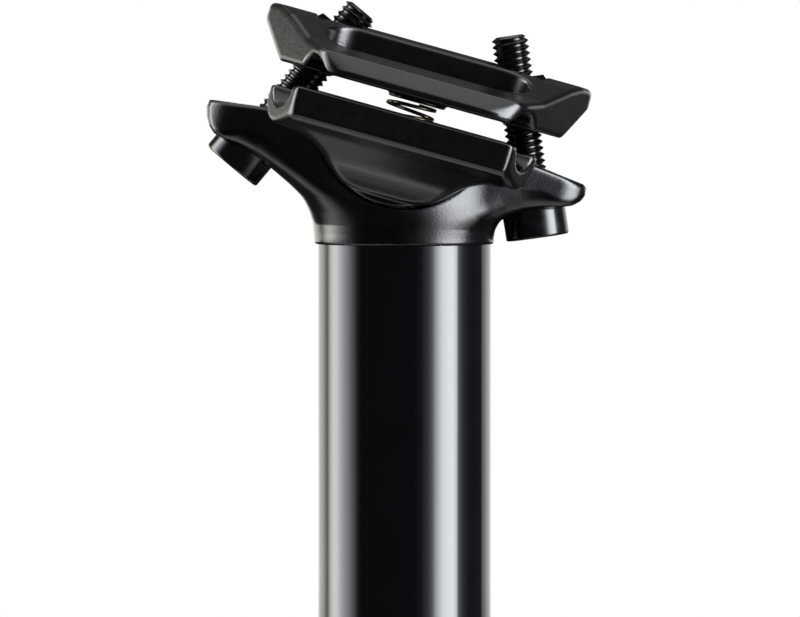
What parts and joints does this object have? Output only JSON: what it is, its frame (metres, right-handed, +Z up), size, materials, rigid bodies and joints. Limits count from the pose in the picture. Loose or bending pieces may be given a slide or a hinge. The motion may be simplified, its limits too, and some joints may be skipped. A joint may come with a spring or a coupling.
{
  "type": "suspension seatpost",
  "caption": "Telescopic suspension seatpost: coil-sprung stanchion sliding in a post tube, topped by a rocking cradle and two-bolt clamp for saddle rails.",
  "frame": {"origin": "centre of the post tube's bottom end face, on the post's axis", "axes": "+Z up the post, +X towards the front of the bicycle, +Y to its left"},
  "size_m": [0.06, 0.055, 0.3688],
  "materials": {
    "gloss_black": "gloss",
    "satin_black": "satin",
    "anodised_black": "satin",
    "black_oxide": "gloss",
    "washer_steel": "satin",
    "spring_wire": "satin",
    "coil_steel": "satin",
    "bare_aluminium": "satin",
    "bush_plastic": "matte",
    "seal_rubber": "matte",
    "foam": "matte",
    "brass": "satin",
    "elastomer": "satin",
    "spring_steel": "satin"
  },
  "bodies": {
    "post": {"post_tube": "gloss_black", "retaining_collar": "anodised_black", "wiper_seal": "seal_rubber", "foam_ring": "foam", "guide_bush": "bush_plastic"},
    "spring_seat": {"lower_spring_seat": "bare_aluminium", "guide_rod": "bare_aluminium", "bottom_out_bumper": "elastomer", "main_spring": "coil_steel"},
    "preload": {"preload_plug": "anodised_black"},
    "slider": {"stanchion": "gloss_black", "crown": "satin_black", "guide_keys": "brass", "slider_bush": "bush_plastic", "slider_circlip": "spring_steel", "top_out_bumper": "seal_rubber", "upper_spring_seat": "bush_plastic", "seat_circlip": "spring_steel"},
    "cradle": {"lower_cradle": "satin_black", "clamp_spring": "spring_wire"},
    "clamp": {"upper_clamp": "satin_black"},
    "front_nut": {"front_barrel_nut": "black_oxide"},
    "rear_nut": {"rear_barrel_nut": "black_oxide"},
    "front_washer": {"front_washer": "washer_steel"},
    "rear_washer": {"rear_washer": "washer_steel"},
    "front_bolt": {"front_clamp_bolt": "black_oxide"},
    "rear_bolt": {"rear_clamp_bolt": "black_oxide"}
  },
  "joints": [
    {"name": "suspension_stroke", "type": "slide", "parent": "post", "child": "slider", "axis": [0, 0, 1], "range_m": [-0.06, 0], "stiffness_N_per_m": 11500, "springref_m": 0.005, "deforming": ["main_spring"]},
    {"name": "preload_lift", "type": "slide", "parent": "post", "child": "spring_seat", "axis": [0, 0, 1], "range_m": [0, 0.006]},
    {"name": "preload_turn", "type": "hinge", "parent": "spring_seat", "child": "preload", "pos_m": [0, 0, 0.007], "axis": [0, 0, 1], "range_deg": [-10, 1450]},
    {"name": "saddle_tilt", "type": "hinge", "parent": "slider", "child": "cradle", "pos_m": [0, 0, 0.3505], "axis": [0, 1, 0], "range_deg": [-12, 6]},
    {"name": "clamp_press", "type": "slide", "parent": "cradle", "child": "clamp", "axis": [0.2672, 0, 0.9636], "range_m": [-0.0018, 0], "stiffness_N_per_m": 900, "springref_m": 0.003, "deforming": ["clamp_spring"]},
    {"name": "front_nut_turn", "type": "hinge", "parent": "clamp", "child": "front_nut", "pos_m": [0.0177, 0, 0.35433], "axis": [0, 1, 0], "range_deg": [-13, 13]},
    {"name": "front_screw_feed", "type": "slide", "parent": "front_nut", "child": "front_washer", "axis": [-0.1408, 0, 0.99], "range_m": [-0.0041, 0.0041]},
    {"name": "front_bolt_turn", "type": "hinge", "parent": "front_washer", "child": "front_bolt", "pos_m": [0.02005, 0, 0.33781], "axis": [-0.1408, 0, 0.99], "range_deg": [-1476, 1476]},
    {"name": "rear_nut_turn", "type": "hinge", "parent": "clamp", "child": "rear_nut", "pos_m": [-0.01102, 0, 0.36229], "axis": [0, 1, 0], "range_deg": [-13, 13]},
    {"name": "rear_screw_feed", "type": "slide", "parent": "rear_nut", "child": "rear_washer", "axis": [0.6444, 0, 0.7647], "range_m": [-0.00364, 0.00364]},
    {"name": "rear_bolt_turn", "type": "hinge", "parent": "rear_washer", "child": "rear_bolt", "pos_m": [-0.02335, 0, 0.34766], "axis": [0.6444, 0, 0.7647], "range_deg": [-1310, 1310]}
  ],
  "couplings": [
    {"joint": "preload_turn", "follows": "preload_lift", "rad_per_m": 4188.8},
    {"joint": "front_nut_turn", "follows": "saddle_tilt", "ratio": -1},
    {"joint": "front_screw_feed", "follows": "saddle_tilt", "m_per_rad": 0.01806},
    {"joint": "front_bolt_turn", "follows": "saddle_tilt", "ratio": 113.47},
    {"joint": "rear_nut_turn", "follows": "saddle_tilt", "ratio": -1},
    {"joint": "rear_screw_feed", "follows": "saddle_tilt", "m_per_rad": -0.016026},
    {"joint": "rear_bolt_turn", "follows": "saddle_tilt", "ratio": -100.69}
  ]
}
